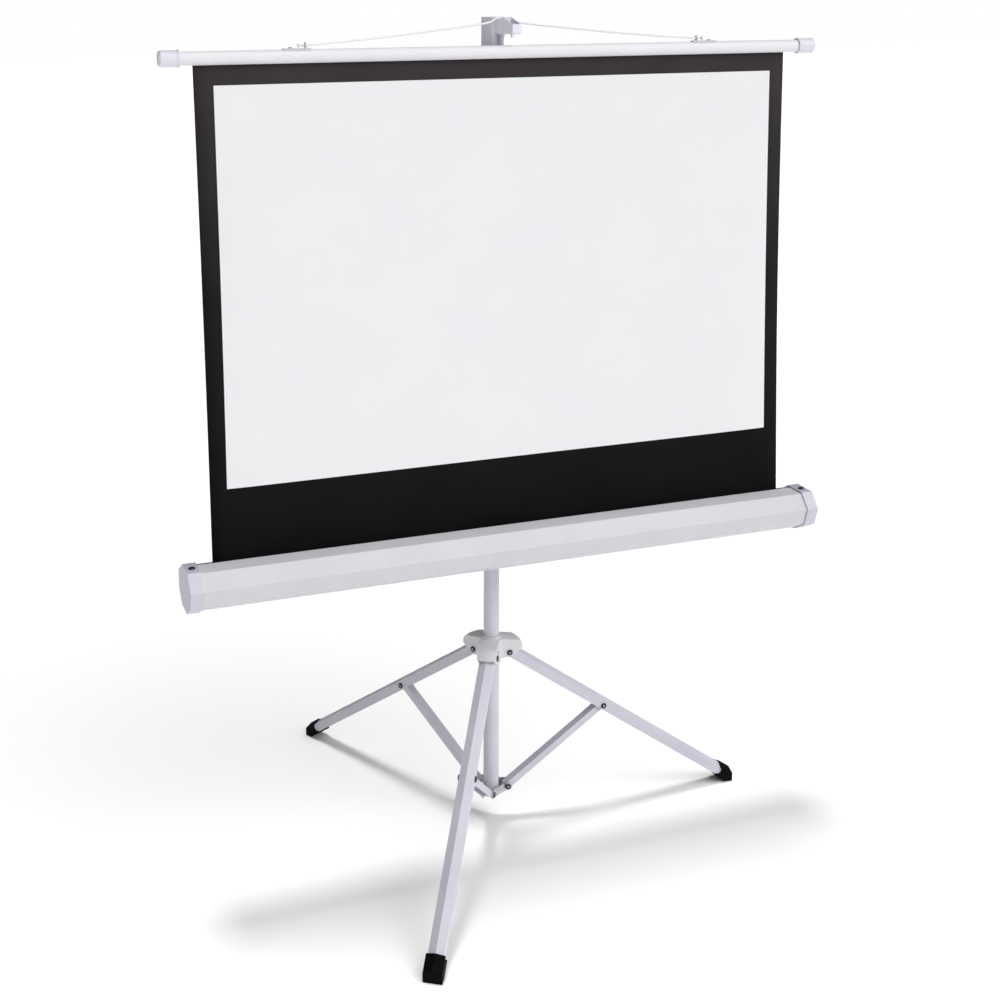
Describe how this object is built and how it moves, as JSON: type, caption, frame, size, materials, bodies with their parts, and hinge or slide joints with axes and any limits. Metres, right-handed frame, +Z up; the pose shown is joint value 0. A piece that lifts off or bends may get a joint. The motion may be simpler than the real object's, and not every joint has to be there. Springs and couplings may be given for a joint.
{
  "type": "tripod projection screen",
  "caption": "Portable pull-up projection screen on a folding tripod: spring-roller case, telescopic mast, hook and cord, black-bordered white fabric.",
  "frame": {"origin": "on the floor, under the middle of the box round the whole screen as set up", "axes": "+Z up, +X to the viewer's right along the case, -Y toward the viewer, the white face"},
  "size_m": [0.9888, 0.7404, 1.2517],
  "materials": {
    "white_paint": "satin",
    "white_plastic": "satin",
    "zinc_steel": "bright zinc",
    "black_rubber": "matte",
    "black_plastic": "matte",
    "screen_cloth": "matte white, black border and back",
    "white_cord": "twisted"
  },
  "bodies": {
    "column": {"mast_tube": "white_paint", "mast_plug": "black_plastic", "foot_bracket": "zinc_steel", "foot_bolt": "zinc_steel", "bracket_rivet_front": "zinc_steel", "bracket_rivet_right": "zinc_steel", "bracket_rivet_rear": "zinc_steel", "lock_collar": "white_plastic", "case_carriage": "white_plastic", "carriage_screw_left": "zinc_steel", "carriage_screw_right": "zinc_steel", "case_shell": "white_paint", "end_cap_left": "white_plastic", "end_cap_right": "white_plastic", "cap_screw_left": "black_plastic", "cap_screw_right": "black_plastic", "spindle_left": "zinc_steel", "spindle_right": "zinc_steel", "roller_spring": "zinc_steel", "screen_fabric": "screen_cloth"},
    "extension": {"extension_tube": "white_paint", "extension_bushing": "black_plastic", "hook_head": "white_plastic", "pull_cord": "white_cord", "cord_clip_left": "zinc_steel", "cord_clip_right": "zinc_steel", "clip_rivet_left": "zinc_steel", "clip_rivet_right": "zinc_steel", "top_bar": "white_paint", "bar_cap_left": "white_plastic", "bar_cap_right": "white_plastic", "hem_rod": "zinc_steel"},
    "roller": {"roller_tube": "zinc_steel", "roller_plug_left": "black_plastic", "roller_plug_right": "black_plastic", "fabric_roll": "screen_cloth"},
    "lock_screw": {"lock_knob": "black_plastic"},
    "carriage_clamp": {"carriage_knob": "black_plastic"},
    "hub": {"sliding_hub": "white_plastic", "hub_rivet_front": "zinc_steel", "hub_rivet_right": "zinc_steel", "hub_rivet_rear": "zinc_steel"},
    "brace_front": {"brace_front": "white_paint"},
    "leg_front": {"leg_front": "white_paint", "boot_front": "black_rubber", "leg_rivet_front": "zinc_steel"},
    "brace_right": {"brace_right": "white_paint"},
    "leg_right": {"leg_right": "white_paint", "boot_right": "black_rubber", "leg_rivet_right": "zinc_steel"},
    "brace_rear": {"brace_rear": "white_paint"},
    "leg_rear": {"leg_rear": "white_paint", "boot_rear": "black_rubber", "leg_rivet_rear": "zinc_steel"}
  },
  "joints": [
    {"name": "brace_fold_front", "type": "hinge", "parent": "column", "child": "brace_front", "pos_m": [-0.02466, -0.02993, 0.0547], "axis": [-0.8443, 0.5358, 0], "range_deg": [0, 30]},
    {"name": "leg_fold_front", "type": "hinge", "parent": "brace_front", "child": "leg_front", "pos_m": [-0.11067, -0.16545, 0.16961], "axis": [-0.8443, 0.5358, 0], "range_deg": [-60, 0]},
    {"name": "brace_fold_right", "type": "hinge", "parent": "column", "child": "brace_right", "pos_m": [0.01448, -0.00947, 0.0547], "axis": [-0.0419, -0.9991, 0], "range_deg": [0, 30]},
    {"name": "leg_fold_right", "type": "hinge", "parent": "brace_right", "child": "leg_right", "pos_m": [0.17484, -0.01619, 0.16961], "axis": [-0.0419, -0.9991, 0], "range_deg": [-60, 0]},
    {"name": "brace_fold_rear", "type": "hinge", "parent": "column", "child": "brace_rear", "pos_m": [-0.02281, 0.0142, 0.0547], "axis": [0.8862, 0.4633, 0], "range_deg": [0, 30]},
    {"name": "leg_fold_rear", "type": "hinge", "parent": "brace_rear", "child": "leg_rear", "pos_m": [-0.09718, 0.15644, 0.16961], "axis": [0.8862, 0.4633, 0], "range_deg": [-60, 0]},
    {"name": "hub_rise", "type": "hinge", "parent": "leg_front", "child": "hub", "pos_m": [-0.02466, -0.02993, 0.28452], "axis": [-0.8443, 0.5358, 0], "range_deg": [0, 30]},
    {"name": "mast_slide", "type": "slide", "parent": "column", "child": "extension", "axis": [0, 0, 1], "range_m": [-0.475, 0], "deforming": ["screen_fabric"]},
    {"name": "roller_spin", "type": "hinge", "parent": "column", "child": "roller", "pos_m": [0, -0.082, 0.4797], "axis": [1, 0, 0], "range_deg": [-1830, 0]},
    {"name": "lock_turn", "type": "hinge", "parent": "column", "child": "lock_screw", "pos_m": [-0.011, 0.0216, 0.714], "axis": [0, 1, 0], "range_deg": [0, 360]},
    {"name": "carriage_turn", "type": "hinge", "parent": "column", "child": "carriage_clamp", "pos_m": [-0.011, 0.0216, 0.4797], "axis": [0, 1, 0], "range_deg": [0, 360]}
  ],
  "couplings": [
    {"joint": "leg_fold_front", "follows": "brace_fold_front", "ratio": -2},
    {"joint": "brace_fold_right", "follows": "brace_fold_front", "ratio": 1},
    {"joint": "leg_fold_right", "follows": "brace_fold_front", "ratio": -2},
    {"joint": "brace_fold_rear", "follows": "brace_fold_front", "ratio": 1},
    {"joint": "leg_fold_rear", "follows": "brace_fold_front", "ratio": -2},
    {"joint": "hub_rise", "follows": "brace_fold_front", "ratio": 1},
    {"joint": "roller_spin", "follows": "mast_slide", "rad_per_m": 67}
  ]
}
